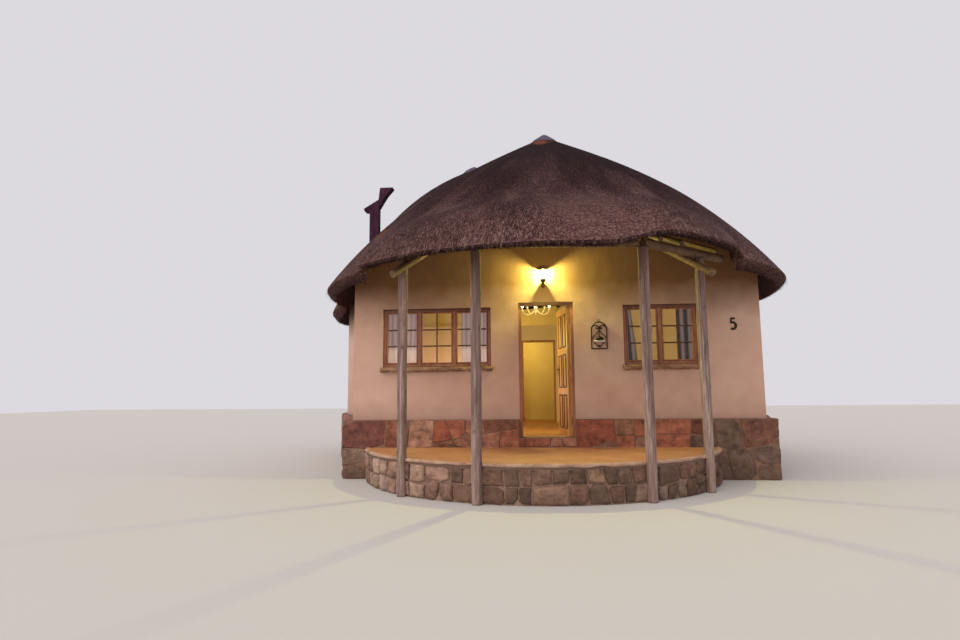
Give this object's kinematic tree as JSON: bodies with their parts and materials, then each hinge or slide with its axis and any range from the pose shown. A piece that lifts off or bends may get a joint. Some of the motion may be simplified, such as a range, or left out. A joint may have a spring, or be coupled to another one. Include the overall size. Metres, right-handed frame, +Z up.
{
  "type": "thatched round house",
  "caption": "Round plastered room with a rear lobe and a raised round porch, under one thatched roof that flows over all three, with a hinged front door.",
  "frame": {"origin": "on the axis of the main round room, at the lowest ground, on the underside of the floor", "axes": "+Z up; -Y is the front with the porch and the door; +X is to the right for someone who looks at the front"},
  "size_m": [8.7003, 9.7426, 6.445],
  "materials": {
    "thatch": "rough straw",
    "round_timber": "weathered",
    "plaster": "matte lime wash",
    "plinth_stone": "rough stone",
    "sill_stone": "rough stone",
    "porch_stone": "rubble stone",
    "porch_tile": "satin",
    "room_floor": "satin",
    "joinery": "varnished",
    "door_wood": "varnished",
    "glass": "clear",
    "curtain_cloth": "matte",
    "mortar": "rough",
    "flue_metal": "matte",
    "dark_iron": "matte",
    "cream_metal": "satin"
  },
  "bodies": {
    "house": {"thatch_front": "thatch", "thatch_right": "thatch", "thatch_back": "thatch", "thatch_left": "thatch", "roof_poles": "round_timber", "porch_rafters": "round_timber", "ring_beams": "round_timber", "hip_poles": "round_timber", "porch_posts": "round_timber", "front_wall_left": "plaster", "front_wall_right": "plaster", "front_wall_head": "plaster", "wall_right": "plaster", "wall_back": "plaster", "wall_left": "plaster", "rear_wall_right": "plaster", "rear_wall_left": "plaster", "plinth_front_left": "plinth_stone", "plinth_front_right": "plinth_stone", "plinth_right": "plinth_stone", "plinth_left": "plinth_stone", "plinth_rear": "plinth_stone", "floor_slab": "room_floor", "door_step": "plinth_stone", "porch_wall": "porch_stone", "porch_floor": "porch_tile", "door_frame": "joinery", "door_hinges": "dark_iron", "window_frames": "joinery", "window_glass": "glass", "window_sills": "sill_stone", "curtains": "curtain_cloth", "apex_cap_main": "mortar", "apex_cap_rear": "mortar", "chimney_flue": "flue_metal", "chimney_cowl": "flue_metal", "wall_lamp": "dark_iron", "wall_ornament": "dark_iron", "chandelier": "cream_metal", "inner_wall_left": "plaster", "inner_wall_right": "plaster", "inner_wall_head": "plaster", "inner_door_frame": "joinery"},
    "door": {"door_leaf": "door_wood", "door_fittings": "dark_iron"}
  },
  "joints": [
    {"name": "front_door_hinge", "type": "hinge", "parent": "house", "child": "door", "pos_m": [0.286, -1.875, 0.615], "axis": [0, 0, 1], "range_deg": [-14, 81]}
  ]
}
